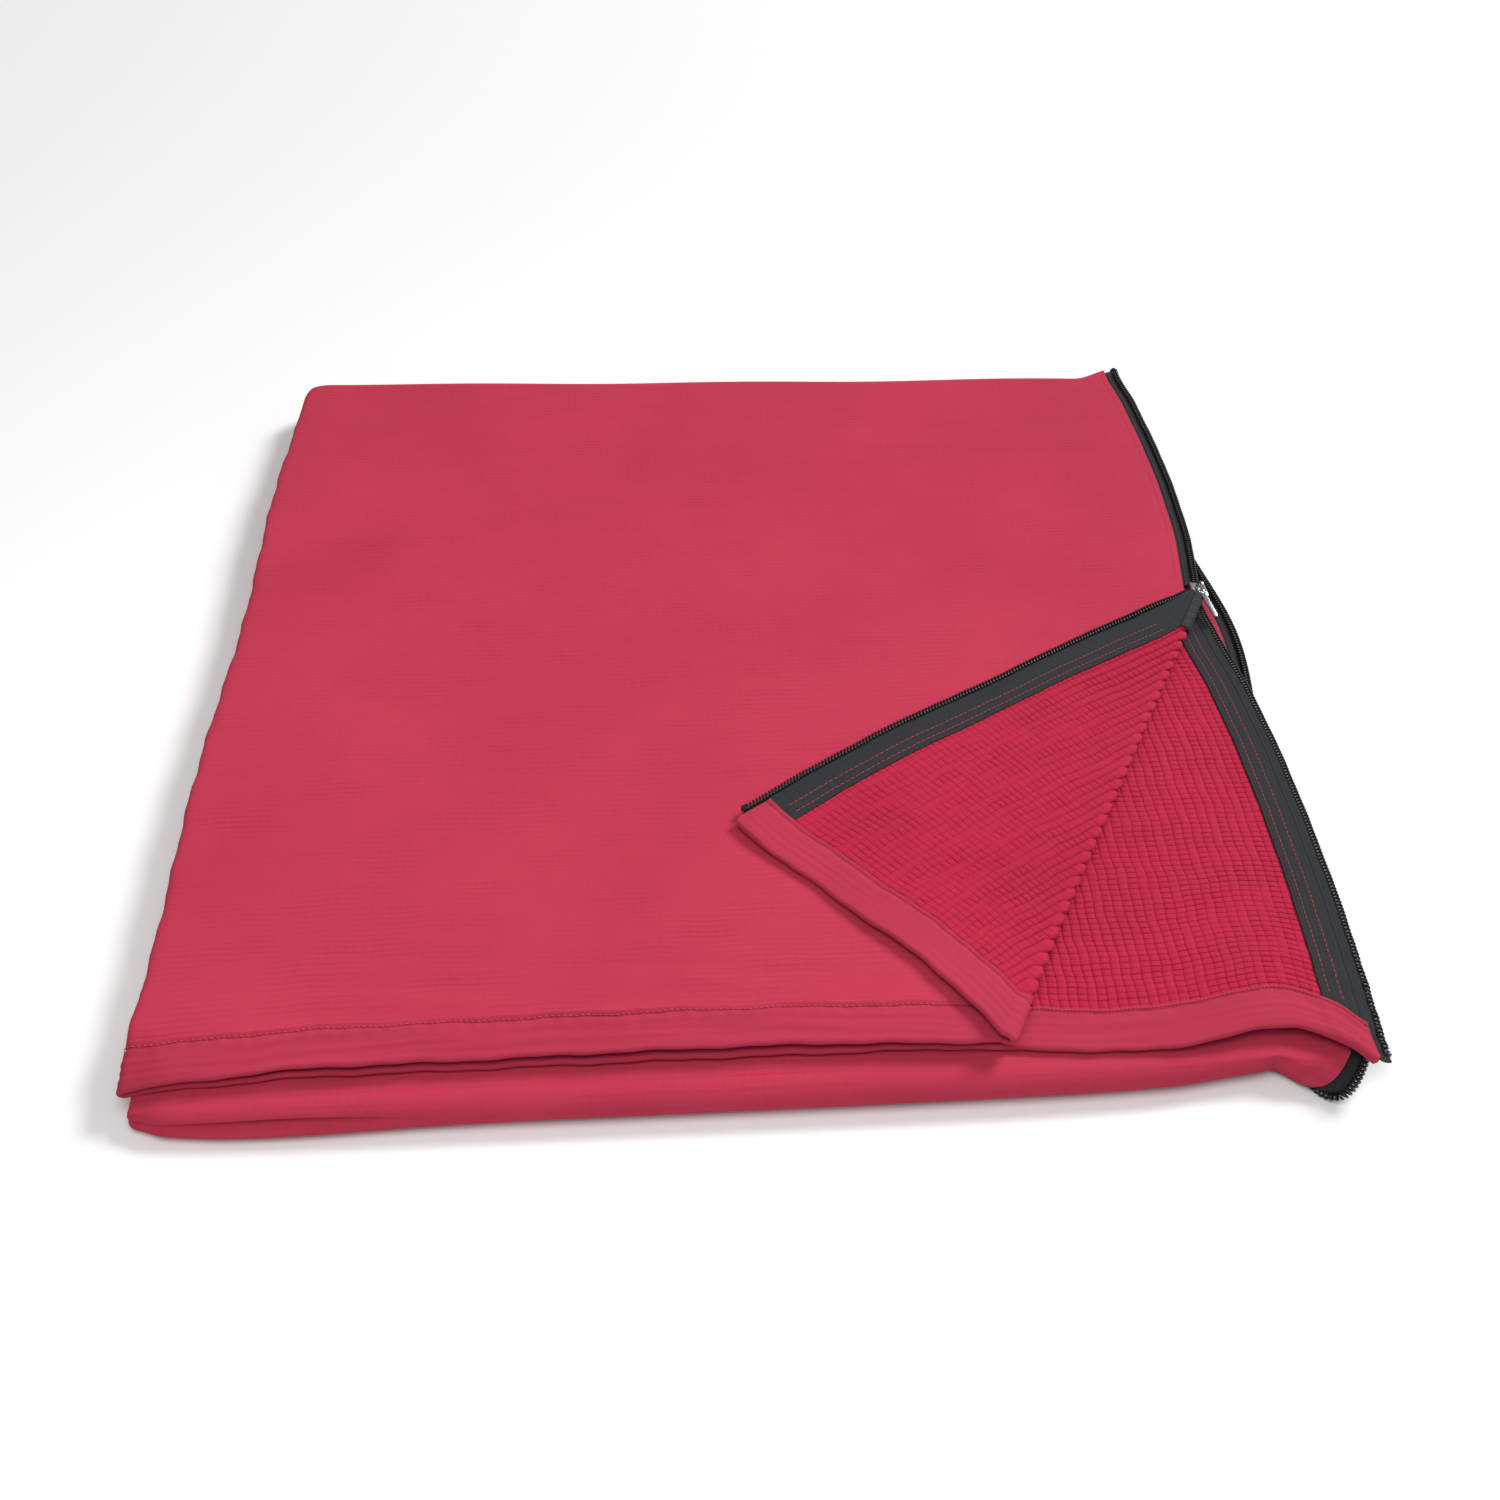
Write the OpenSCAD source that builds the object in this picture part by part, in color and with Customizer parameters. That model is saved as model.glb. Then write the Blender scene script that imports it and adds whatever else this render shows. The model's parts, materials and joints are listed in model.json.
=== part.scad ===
// Zip-up grid-fleece liner bag for an infrared sauna blanket, folded in thirds.
// Frame: origin on the floor under the middle of the folded bundle, +Z up,
// +X towards the zipper, -Y towards the open head end.
// The bag is one cloth turned lengthwise at the left: a front panel and a back panel.
// Layer 0 lies on the floor, layer 1 on it, layer 2 on top; odd layers lie face down.

/* [Bundle] */
// Distance from the middle of the bundle to each fold line, along Y
half_depth = 340; // [320:5:380]
// Distance from the middle to the cloth's straight part on the left
left_reach = 350; // [330:5:380]
// Distance from the middle to the cut edge of the cloth at the zipper
right_reach = 342; // [325:1:372]

/* [Cloth] */
// Thickness of the grid fleece
cloth_t = 3; // [2.5:0.1:3.4]
// Space between the front panel and the back panel, where a person lies
inner_gap = 4; // [4:0.2:5]
// Space between one folded layer and the next
layer_gap = 1; // [0.9:0.1:1.5]
// Width of the hem at the head end
hem_w = 28; // [20:1:34]
// Extra thickness of the hem, whose cloth is turned in
hem_extra = 0.4; // [0.2:0.1:0.6]

/* [Zipper] */
// Width of the tape sewn to each panel
tape_w = 23; // [18:1:26]
// Thickness of the tape
tape_t = 0.8; // [0.5:0.1:0.9]
// Radius of one coil's envelope
coil_r = 2; // [1.8:0.1:2.1]
// Distance from the middle of the chain to the centre of each coil
coil_offset = 2.6; // [2.6:0.1:2.8]
// Place of the slider along the zipper
slider_y = 50; // [0:1:120]
// Length of the slider's body
slider_l = 12; // [10:1:16]
// Thickness of the slider's plates
plate_t = 1.2; // [1:0.1:1.5]
// Length of the pull tab, past its eye
tab_l = 24; // [16:1:34]

/* [Corner flap] */
// Angle of the line that the corner folds over on, from +X
fold_angle = 61; // [57:0.5:66]
// Radius of the cloth's bend on that line
bend_r = 2; // [1.5:0.1:2.2]
// Space between the flap and the panel that it lies on
flap_gap = 0.5; // [0.4:0.1:1]

/* [Stitching] */
// Length of one stitch
stitch_l = 5; // [3:0.5:6]
// Distance from one stitch to the next
stitch_pitch = 8; // [7:0.5:12]
// Width of the thread
thread_w = 0.8; // [0.4:0.1:1]
// Height of the thread above the cloth
thread_h = 0.3; // [0.2:0.05:0.3]

/* [Hidden] */
$fn = 48;
cloth_colour = [0.76, 0.20, 0.30];
inner_colour = [0.70, 0.13, 0.26];
hem_colour = [0.72, 0.20, 0.30];
tape_colour = [0.16, 0.16, 0.18];
coil_colour = [0.07, 0.07, 0.08];
thread_colour = [0.66, 0.12, 0.32];
metal_colour = [0.80, 0.80, 0.82];

layer_t = 2 * cloth_t + inner_gap;
pitch = layer_t + layer_gap;
top_z = 2 * pitch + layer_t;
coil_reach = sqrt(pow(coil_r, 2) - pow(coil_offset - inner_gap / 2, 2));
chain_x = right_reach + 5;
tape_x1 = chain_x - coil_reach - 0.04;
tape_x0 = tape_x1 - tape_w;
hem_y = hem_w - half_depth;
stop_l = 4;
slider_free = 8;
flap_end_y = slider_y - slider_l / 2 - slider_free;
closed_y0 = slider_y + slider_l / 2 + 2;
axis_z = top_z + flap_gap / 2;
panel_clear = bend_r + 0.6;
flap_clear = 0.3;
stitch_rows = [5, 14];

// Height of the middle of a layer, and which way its front panel lies from there
function mid_z(layer) = layer * pitch + layer_t / 2;
function front_side(layer) = layer % 2 == 0 ? 1 : -1;

// Height of the underside of a slab t thick whose near face is inner_gap / 2 from the middle
function slab_z(layer, side, near, t) = mid_z(layer) + (side > 0 ? near : -near - t);

// Where the flap's fold line crosses a given y
function fold_x(y) = chain_x + (y - slider_y) / tan(fold_angle);

// A box given by its low and high corners
module slab(low, high) {
  translate(low)
    cube(high - low);
}

// One panel of one layer, as a plain slab
module panel(layer, side) {
  z0 = slab_z(layer, side, inner_gap / 2, cloth_t);
  slab([-left_reach, -half_depth, z0], [right_reach, half_depth, z0 + cloth_t]);
}

// The lengthwise turn of the cloth on the left: a half ring, as a flat outline open to +X
module side_outline() {
  intersection() {
    difference() {
      circle(r = layer_t / 2);
      circle(r = inner_gap / 2);
    }
    translate([-layer_t, -layer_t])
      square([layer_t, 2 * layer_t]);
  }
}

module side_fold(layer) {
  translate([-left_reach, half_depth, mid_z(layer)])
    rotate([90, 0, 0])
      linear_extrude(2 * half_depth)
        side_outline();
}

// A zipper tape on the inner face of one panel of a layer
module tape(layer, side, y0, y1) {
  z0 = slab_z(layer, side, inner_gap / 2 - tape_t, tape_t);
  slab([tape_x0, y0, z0], [tape_x1, y1, z0 + tape_t]);
}

// The envelope of one zipper coil of a layer
module coil(layer, side, y0, y1) {
  translate([chain_x, y1, mid_z(layer) + side * coil_offset])
    rotate([90, 0, 0])
      cylinder(r = coil_r, h = y1 - y0);
}

// The stop crimped on the head end of one coil
module top_stop(side) {
  low = [chain_x - coil_r, -half_depth + 1, mid_z(2) + side * coil_offset - coil_r];
  slab(low, low + [2 * coil_r, stop_l, 2 * coil_r]);
}

// Moves a shape made about the X axis to the back fold or to the front fold
module at_fold(back) {
  translate([0, back ? half_depth : -half_depth, (back ? 2 : 1) * pitch - layer_gap / 2])
    mirror([0, back ? 0 : 1, 0])
      children();
}

// Half a tube along X, curving towards +Y
module half_tube(r0, r1, x0, x1) {
  translate([x0, 0, 0])
    rotate([90, 0, 90])
      linear_extrude(x1 - x0)
        intersection() {
          difference() {
            circle(r = r1);
            circle(r = r0);
          }
          translate([0, -r1])
            square([r1, 2 * r1]);
        }
}

// Half a torus in the plane of the fold, at a given x and radius
module half_torus(x, r) {
  translate([x, 0, 0])
    rotate([0, 90, 0])
      rotate_extrude(angle = 180)
        translate([r, 0])
          circle(r = coil_r);
}

// The far panel and the near panel as they turn round a fold
far_r0 = layer_gap / 2 + cloth_t + inner_gap;
near_r0 = layer_gap / 2;
mid_r = layer_gap / 2 + layer_t / 2;

module fold_far() {
  half_tube(far_r0, far_r0 + cloth_t, -left_reach, right_reach);
}

module fold_near() {
  half_tube(near_r0, near_r0 + cloth_t, -left_reach, right_reach);
}

module fold_side() {
  translate([-left_reach, 0, 0])
    rotate([0, 90, 0])
      rotate_extrude(angle = 180)
        translate([mid_r, 0])
          rotate([0, 0, 90])
            side_outline();
}

module fold_tapes() {
  half_tube(far_r0 - tape_t, far_r0, tape_x0, tape_x1);
  half_tube(near_r0 + cloth_t, near_r0 + cloth_t + tape_t, tape_x0, tape_x1);
}

module fold_coils() {
  half_torus(chain_x, mid_r + coil_offset);
  half_torus(chain_x, mid_r - coil_offset);
}

// A hem band along X with a round front edge, near its panel's inner face by hem_extra
module hem_band(side, x0, x1) {
  t = cloth_t + hem_extra;
  z0 = slab_z(2, side, inner_gap / 2 - hem_extra, t);
  translate([x0, 0, z0])
    rotate([90, 0, 90])
      linear_extrude(x1 - x0) {
        translate([-half_depth + t / 2, 0])
          square([hem_w - t / 2, t]);
        translate([-half_depth + t / 2, t / 2])
          circle(r = t / 2);
      }
}

// A row of stitches from a start point along +X or +Y, standing on a face at height z
module stitch_row(start, span, z, along_x) {
  count = floor(span / stitch_pitch);
  size = along_x ? [stitch_l, thread_w, thread_h] : [thread_w, stitch_l, thread_h];
  step = along_x ? [stitch_pitch, 0] : [0, stitch_pitch];
  for (i = [0:count - 1])
    translate([start[0] + i * step[0], start[1] + i * step[1], z])
      cube(size);
}

// The area on one side of the flap's fold line, clear of it by a distance, as a prism
module fold_side_area(right, clear) {
  reach = 3 * half_depth;
  translate([chain_x, slider_y, 0])
    rotate([0, 0, fold_angle])
      translate([-reach, right ? -reach - clear : clear, 0])
        cube([2 * reach, reach, 2 * top_z]);
}

// Turns a shape made where the closed corner lies over onto the top of the bundle
module turned_over() {
  translate([chain_x, slider_y, axis_z])
    rotate([0, 0, fold_angle])
      rotate([180, 0, 0])
        rotate([0, 0, -fold_angle])
          translate([-chain_x, -slider_y, -axis_z])
            children();
}

// ---- Lower layer, on the floor: back panel below, front panel above ----
module back_panel_lower() {
  color(cloth_colour) panel(0, -1);
}

module front_panel_lower() {
  color(cloth_colour) panel(0, 1);
}

module side_fold_lower() {
  color(cloth_colour) side_fold(0);
}

// The seam that closes the foot end, between the two panels
module foot_seam() {
  z0 = mid_z(0) - inner_gap / 2;
  color(inner_colour)
    slab([-left_reach, half_depth - 4, z0], [tape_x0 - 1, half_depth, z0 + inner_gap]);
}

module back_tape_lower() {
  color(tape_colour) tape(0, -1, -half_depth, half_depth - stop_l);
}

module front_tape_lower() {
  color(tape_colour) tape(0, 1, -half_depth, half_depth - stop_l);
}

module back_coil_lower() {
  color(coil_colour) coil(0, -1, -half_depth, half_depth - stop_l);
}

module front_coil_lower() {
  color(coil_colour) coil(0, 1, -half_depth, half_depth - stop_l);
}

// The stop that joins both coils at the foot end
module bottom_stop() {
  half_h = coil_offset + coil_r;
  color(metal_colour)
    slab([chain_x - coil_r, half_depth - stop_l, mid_z(0) - half_h],
         [chain_x + coil_r, half_depth, mid_z(0) + half_h]);
}

// ---- Front fold, between the lower and the middle layer ----
module front_fold_outer() {
  color(cloth_colour) at_fold(false) fold_far();
}

module front_fold_inner() {
  color(cloth_colour) at_fold(false) fold_near();
}

module front_fold_side() {
  color(cloth_colour) at_fold(false) fold_side();
}

module front_fold_tapes() {
  color(tape_colour) at_fold(false) fold_tapes();
}

module front_fold_coils() {
  color(coil_colour) at_fold(false) fold_coils();
}

// ---- Middle layer, face down ----
module back_panel_middle() {
  color(cloth_colour) panel(1, 1);
}

module front_panel_middle() {
  color(cloth_colour) panel(1, -1);
}

module side_fold_middle() {
  color(cloth_colour) side_fold(1);
}

module back_tape_middle() {
  color(tape_colour) tape(1, 1, -half_depth, half_depth);
}

module front_tape_middle() {
  color(tape_colour) tape(1, -1, -half_depth, half_depth);
}

module back_coil_middle() {
  color(coil_colour) coil(1, 1, -half_depth, half_depth);
}

module front_coil_middle() {
  color(coil_colour) coil(1, -1, -half_depth, half_depth);
}

// ---- Back fold, between the middle and the upper layer ----
module back_fold_outer() {
  color(cloth_colour) at_fold(true) fold_far();
}

module back_fold_inner() {
  color(cloth_colour) at_fold(true) fold_near();
}

module back_fold_side() {
  color(cloth_colour) at_fold(true) fold_side();
}

module back_fold_tapes() {
  color(tape_colour) at_fold(true) fold_tapes();
}

module back_fold_coils() {
  color(coil_colour) at_fold(true) fold_coils();
}

// ---- Upper layer, with the open head end ----
module back_panel_upper() {
  z0 = slab_z(2, -1, inner_gap / 2, cloth_t);
  color(inner_colour)
    slab([-left_reach, hem_y, z0], [right_reach, half_depth, z0 + cloth_t]);
}

module front_panel_upper() {
  z0 = slab_z(2, 1, inner_gap / 2, cloth_t);
  color(cloth_colour) {
    intersection() {
      slab([-left_reach, hem_y, z0], [right_reach, closed_y0, z0 + cloth_t]);
      fold_side_area(false, panel_clear);
    }
    slab([-left_reach, closed_y0, z0], [right_reach, half_depth, z0 + cloth_t]);
  }
}

module side_fold_upper() {
  color(cloth_colour) side_fold(2);
}

module back_hem() {
  color(hem_colour) hem_band(-1, -left_reach, right_reach);
}

module front_hem() {
  color(hem_colour)
    intersection() {
      hem_band(1, -left_reach, right_reach);
      fold_side_area(false, panel_clear);
    }
}

module back_tape_upper() {
  color(tape_colour) tape(2, -1, hem_y, half_depth);
}

module front_tape_upper() {
  color(tape_colour) tape(2, 1, closed_y0, half_depth);
}

module back_coil_upper() {
  color(coil_colour) coil(2, -1, -half_depth + stop_l + 1, half_depth);
}

module front_coil_upper() {
  color(coil_colour) coil(2, 1, closed_y0, half_depth);
}

module back_top_stop() {
  color(metal_colour) top_stop(-1);
}

module front_hem_stitching() {
  span = fold_x(hem_y) - panel_clear - 10 + left_reach;
  color(thread_colour) stitch_row([-left_reach, hem_y - 3], span, top_z, true);
}

module back_hem_stitching() {
  start_x = fold_x(hem_y) + 4;
  z = slab_z(2, -1, inner_gap / 2, cloth_t) + cloth_t + hem_extra;
  color(thread_colour) stitch_row([start_x, hem_y - 3], tape_x0 - start_x, z, true);
}

module front_tape_stitching() {
  color(thread_colour)
    stitch_row([right_reach - stitch_rows[0], closed_y0], half_depth - closed_y0, top_z, false);
}

module back_tape_stitching() {
  z = slab_z(2, -1, inner_gap / 2 - tape_t, tape_t) + tape_t;
  color(thread_colour)
    for (row = stitch_rows)
      stitch_row([tape_x0 + row, hem_y], slider_y - hem_y, z, false);
}

// ---- Corner flap: made where it closes, then turned over onto the top ----
module flap_panel() {
  z0 = slab_z(2, 1, inner_gap / 2, cloth_t);
  bend_l = (flap_end_y - hem_y) / sin(fold_angle);
  color(inner_colour)
    turned_over() {
      intersection() {
        slab([-left_reach, hem_y, z0], [right_reach, flap_end_y, z0 + cloth_t]);
        fold_side_area(true, 0);
      }
      translate([fold_x(hem_y), hem_y, axis_z])
        rotate([0, 90, fold_angle])
          cylinder(r = bend_r, h = bend_l);
    }
}

module flap_hem() {
  color(hem_colour)
    turned_over()
      intersection() {
        hem_band(1, -left_reach, right_reach);
        fold_side_area(true, panel_clear);
      }
}

module flap_tape() {
  color(tape_colour)
    turned_over()
      intersection() {
        tape(2, 1, hem_y, flap_end_y);
        fold_side_area(true, flap_clear);
      }
}

module flap_coil() {
  color(coil_colour) turned_over() coil(2, 1, -half_depth + stop_l + 1, flap_end_y);
}

module flap_top_stop() {
  color(metal_colour) turned_over() top_stop(1);
}

module flap_stitching() {
  tape_z = slab_z(2, 1, inner_gap / 2 - tape_t, tape_t) - thread_h;
  start_x = fold_x(hem_y) + 8;
  hem_z = slab_z(2, 1, inner_gap / 2 - hem_extra, cloth_t) - thread_h;
  color(thread_colour)
    turned_over()
      intersection() {
        union() {
          for (row = stitch_rows)
            stitch_row([tape_x0 + row, hem_y], flap_end_y - hem_y, tape_z, false);
          stitch_row([start_x, hem_y - 3], tape_x0 - start_x, hem_z, true);
        }
        fold_side_area(true, flap_clear);
      }
}

// ---- Slider: its plates stand on each side of the chain ----
slider_y0 = slider_y - slider_l / 2;
run_gap = 0.4;
inner_plate_h = inner_gap - 2 * tape_t - 0.6;
divider_t = 2 * (coil_offset - coil_r) - 0.2;
plate_h = 2 * (coil_offset + coil_r) + 2.6;
outer_x = chain_x + coil_r + run_gap;
inner_x = chain_x - coil_r - run_gap - plate_t;
bridge_r = 4.4;
bridge_w = 2;
strap_t = 1.6;
wire_r = 0.6;
ring_r = 3.5;
ring_x = outer_x + plate_t + 1.6;
tab_hole_r = 0.9;
tab_eye_r = 1.8;

// Both plates, the divider between the coils at the mouth, and the lips over the coils
module slider_body() {
  lip_t = 0.8;
  lip_w = 3.4;
  z_mid = mid_z(2);
  y1 = slider_y0 + slider_l;
  color(metal_colour) {
    slab([outer_x, slider_y0, z_mid - plate_h / 2], [outer_x + plate_t, y1, z_mid + plate_h / 2]);
    slab([inner_x, slider_y0, z_mid - inner_plate_h / 2],
         [inner_x + plate_t, y1, z_mid + inner_plate_h / 2]);
    slab([inner_x, slider_y0, z_mid - divider_t / 2],
         [outer_x + plate_t, slider_y - 1, z_mid + divider_t / 2]);
    for (side = [-1, 1])
      translate([outer_x + plate_t - lip_w, slider_y0, z_mid + side * (plate_h - lip_t) / 2 - lip_t / 2])
        cube([lip_w, slider_l, lip_t]);
  }
}

// The arch on the outer plate that the ring hangs from
module slider_bridge() {
  color(metal_colour)
    translate([outer_x + plate_t, slider_y, mid_z(2) - bridge_w / 2])
      linear_extrude(bridge_w)
        intersection() {
          difference() {
            circle(r = bridge_r);
            circle(r = bridge_r - strap_t);
          }
          translate([0, -bridge_r])
            square([bridge_r, 2 * bridge_r]);
        }
}

module pull_ring() {
  color(metal_colour)
    translate([ring_x, slider_y - ring_r, mid_z(2)])
      rotate([0, 90, 0])
        rotate_extrude()
          translate([ring_r, 0])
            circle(r = wire_r);
}

module pull_tab() {
  color(metal_colour)
    translate([ring_x, slider_y - 2 * ring_r, mid_z(2) - plate_t / 2])
      difference() {
        union() {
          cylinder(r = tab_eye_r, h = plate_t);
          translate([-tab_eye_r, -tab_l, 0])
            cube([2 * tab_eye_r, tab_l, plate_t]);
          translate([0, -tab_l, 0])
            cylinder(r = tab_eye_r, h = plate_t);
        }
        translate([0, 0, -1])
          cylinder(r = tab_hole_r, h = plate_t + 2);
      }
}

back_panel_lower();
front_panel_lower();
side_fold_lower();
foot_seam();
back_tape_lower();
front_tape_lower();
back_coil_lower();
front_coil_lower();
bottom_stop();
front_fold_outer();
front_fold_inner();
front_fold_side();
front_fold_tapes();
front_fold_coils();
back_panel_middle();
front_panel_middle();
side_fold_middle();
back_tape_middle();
front_tape_middle();
back_coil_middle();
front_coil_middle();
back_fold_outer();
back_fold_inner();
back_fold_side();
back_fold_tapes();
back_fold_coils();
back_panel_upper();
front_panel_upper();
side_fold_upper();
back_hem();
front_hem();
back_tape_upper();
front_tape_upper();
back_coil_upper();
front_coil_upper();
back_top_stop();
front_hem_stitching();
back_hem_stitching();
front_tape_stitching();
back_tape_stitching();
flap_panel();
flap_hem();
flap_tape();
flap_coil();
flap_top_stop();
flap_stitching();
slider_body();
slider_bridge();
pull_ring();
pull_tab();
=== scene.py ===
"""Looks of the zip-up grid-fleece liner bag, folded in thirds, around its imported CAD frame.

Lengths are in millimetres until a mesh is made, which turns them into metres.
The cloth is one tube, laid flat and folded. Each point of it has two coordinates:
a runs across it, from the cut edge of the front panel (positive) round the left turn
to the cut edge of the back panel (negative), and s runs along it from the head end.
"""
import json
import math
import bmesh
import bpy
import numpy as np
from mathutils import Matrix, Vector


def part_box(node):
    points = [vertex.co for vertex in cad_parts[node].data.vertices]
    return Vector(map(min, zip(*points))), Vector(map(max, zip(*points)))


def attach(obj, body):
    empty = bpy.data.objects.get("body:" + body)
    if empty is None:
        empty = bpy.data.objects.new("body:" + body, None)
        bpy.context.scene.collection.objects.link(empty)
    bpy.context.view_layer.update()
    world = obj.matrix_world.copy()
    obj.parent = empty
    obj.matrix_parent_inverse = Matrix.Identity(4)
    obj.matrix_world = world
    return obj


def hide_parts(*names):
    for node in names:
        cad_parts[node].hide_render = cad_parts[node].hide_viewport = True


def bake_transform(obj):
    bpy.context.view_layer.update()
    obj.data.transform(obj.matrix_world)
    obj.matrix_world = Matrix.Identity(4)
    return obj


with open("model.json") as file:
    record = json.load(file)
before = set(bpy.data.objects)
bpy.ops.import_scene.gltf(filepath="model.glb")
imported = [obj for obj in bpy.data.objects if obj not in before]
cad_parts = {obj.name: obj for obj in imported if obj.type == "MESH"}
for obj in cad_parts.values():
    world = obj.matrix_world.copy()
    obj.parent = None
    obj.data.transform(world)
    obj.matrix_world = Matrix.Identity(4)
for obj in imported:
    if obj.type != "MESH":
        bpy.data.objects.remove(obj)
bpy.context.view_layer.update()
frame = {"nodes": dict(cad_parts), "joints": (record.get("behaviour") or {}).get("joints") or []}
MM = 0.001


def corners(node):
    """Lowest and highest corner of a CAD node, in millimetres."""
    return [np.array(corner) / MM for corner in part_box(node)]


# ---- Sizes, all taken from the frame ----
back_low = corners("back_panel_lower")[0]
front_low, front_high = corners("front_panel_lower")
next_low = corners("front_panel_middle")[0]
LEFT, RIGHT, DEPTH = front_low[0], front_high[0], front_high[1]
HALF_CLOTH = (front_high[2] - front_low[2]) / 2
PITCH = next_low[2] - front_low[2] + (front_low[2] - back_low[2])
HALF = (front_low[2] - back_low[2]) / 2
MID = [HALF + HALF_CLOTH + PITCH * k for k in range(3)]    # heights of the layers' middles
FRONT_FOLD_Z, BACK_FOLD_Z = (MID[0] + MID[1]) / 2, (MID[1] + MID[2]) / 2
HEM_Y = corners("back_panel_upper")[0][1]
HEM = HEM_Y + DEPTH
CHAIN = sum(c[0] for c in corners("back_coil_lower")) / 2
TAPE_X0, TAPE_X1 = (c[0] for c in corners("back_tape_lower"))
TAPE = np.ptp([c[2] for c in corners("back_tape_lower")])
COIL_H = MID[0] - sum(c[2] for c in corners("back_coil_lower")) / 2
CLOSED_Y = corners("front_coil_upper")[0][1]
FLAP_END_Y = 36.0            # where the turned corner's zipper ends, beside the slider
turn = next(j for j in frame["joints"] if j["name"] == "corner_turn")
PIVOT = np.array(turn["pos_m"]) / MM
ALONG = np.array(turn["axis"])
ACROSS = np.array([ALONG[1], -ALONG[0], 0.0])
BEND_R = PIVOT[2] - (MID[2] + HALF)
LINE_FRONT = (-DEPTH - PIVOT[1]) / ALONG[1]    # where the corner's fold line meets the head end

# path lengths s where the back fold, middle layer, front fold, lower layer and foot begin
BEND = PITCH / 2
RUN = 2 * DEPTH
TURN = math.pi * BEND
SIDE = math.pi * HALF
S_BACK, S_MID = RUN, RUN + TURN
S_FRONT, S_LOW = S_MID + RUN, S_MID + RUN + TURN
S_FOOT = S_LOW + RUN

PAD_X, PAD_Y = 5.6, 4.3      # pitch of the fleece's grid
CLOTH_EDGE = 5.0             # from the CAD's right side to the cut edge under the tape
A_FRONT = RIGHT - LEFT - CLOTH_EDGE
A_BACK = -SIDE - A_FRONT
HEAD_FROM, HEAD_TO = 150, 340    # where the head end's own moves fade in, as -y
HELD = 55                    # how far from the corner's fold line its cloth still holds on
GRIPPED = 25                 # the same for the chain, which the slider holds


# ---- Small helpers ----
def smooth(t):
    """Smooth step from 0 to 1."""
    t = np.clip(t, 0, 1)
    return t * t * (3 - 2 * t)


def ramp(v, low, high):
    """Smooth step of v from 0 at low to 1 at high."""
    return smooth((v - low) / (high - low))


def bump(v, middle, width):
    """Bell curve of v."""
    return np.exp(-(((v - middle) / width) ** 2))


def through(v, *points):
    """Smooth curve through (place, value) points, level at both ends."""
    places = np.array([p[0] for p in points], float)
    values = np.array([p[1] for p in points], float)
    v = np.clip(v, places[0], places[-1])
    i = np.clip(np.searchsorted(places, v) - 1, 0, len(places) - 2)
    slopes = np.zeros(len(places))
    slopes[1:-1] = (values[2:] - values[:-2]) / (places[2:] - places[:-2])
    w = places[i + 1] - places[i]
    t = (v - places[i]) / w
    return (
        values[i] * (1 + 2 * t) * (1 - t) ** 2
        + values[i + 1] * (3 - 2 * t) * t**2
        + w * slopes[i] * t * (1 - t) ** 2
        - w * slopes[i + 1] * t**2 * (1 - t)
    )


def columns(*parts):
    """Rows of (x, y, z) from three numbers or arrays."""
    return np.stack([np.broadcast_to(np.asarray(p, float), np.broadcast(*parts).shape)
                     for p in parts], -1)


def line_distance(x, y):
    """Signed distance from the corner's fold line, positive on the side that turns over."""
    return (x - PIVOT[0]) * ACROSS[0] + (y - PIVOT[1]) * ACROSS[1]


def near_line(x, y, width):
    """1 on the corner's fold line, falling to 0 beside it."""
    return bump(line_distance(x, y), 0, width)


def line_y(t):
    """y at distance t along the corner's fold line."""
    return PIVOT[1] + t * ALONG[1]


def fold_x(y):
    """x of the corner's fold line at y."""
    return PIVOT[0] + (y - PIVOT[1]) * ALONG[0] / ALONG[1]


# ---- How the real cloth lies: small moves away from the straight CAD layout ----
def top_wave(x, y):
    """Slow undulation of the whole stack."""
    return (0.9 * np.sin(x / 83 + 1.1) * np.sin(y / 97 + 0.4)
            + 0.5 * np.sin((x + 1.6 * y) / 74 + 2.0)
            + 0.3 * np.sin((0.5 * x - y) / 31 + 0.7))


def head_ruffle(x, y):
    """Fine wrinkles along the hem, strongest near the head end."""
    near = ramp(-y, 215, 300)
    return near * (0.38 * np.sin(y / 1.5 + 1.6 * np.sin(x / 64)) * np.sin(x / 47 + 0.5)
                   + 0.5 * np.sin(y / 3.7 + x / 80 + 0.8 * np.sin(x / 29)) * np.sin(x / 61 + 1.9))


def wander(x, y):
    """Small sideways moves of the cloth, which keep the knitted grid from looking ruled."""
    fade = (1 - near_line(x, y, 9)) * (1 - 0.75 * ramp(x, 300, 320))
    dx = 0.55 * np.sin(y / 9.3 + 0.9 * np.sin(x / 13)) + 0.28 * np.sin(y / 3.7 + x / 16)
    dy = 0.5 * np.sin(x / 10.7 + 0.8 * np.sin(y / 15)) + 0.25 * np.sin(x / 4.1 + y / 12)
    return fade * dx, fade * dy


def zip_bow(y):
    """How far the open and the closed chain of the upper layer bow out to the right."""
    return through(y, (-350, 6), (-325, 5), (-235, 11), (-130, 13), (-50, 9), (5, 2),
                   (50, 0), (110, 8), (200, 12), (290, 8), (330, 3), (360, 4))


def head_shift(x, side):
    """How far the hem's edge lies back from its straight place, front panel or back panel."""
    front = through(x, (-355, 8), (-250, 12), (20, 14), (150, 12))
    back = through(x, (-355, 8), (-250, 11), (100, 11), (160, 7), (227, 4), (300, 12),
                   (328, 0), (346, -17))
    return np.where(side > 0, front, back)


def level(z):
    """0 on the floor, 1 on top of the stack."""
    return np.clip(z / (MID[2] + HALF), 0, 1)


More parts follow.
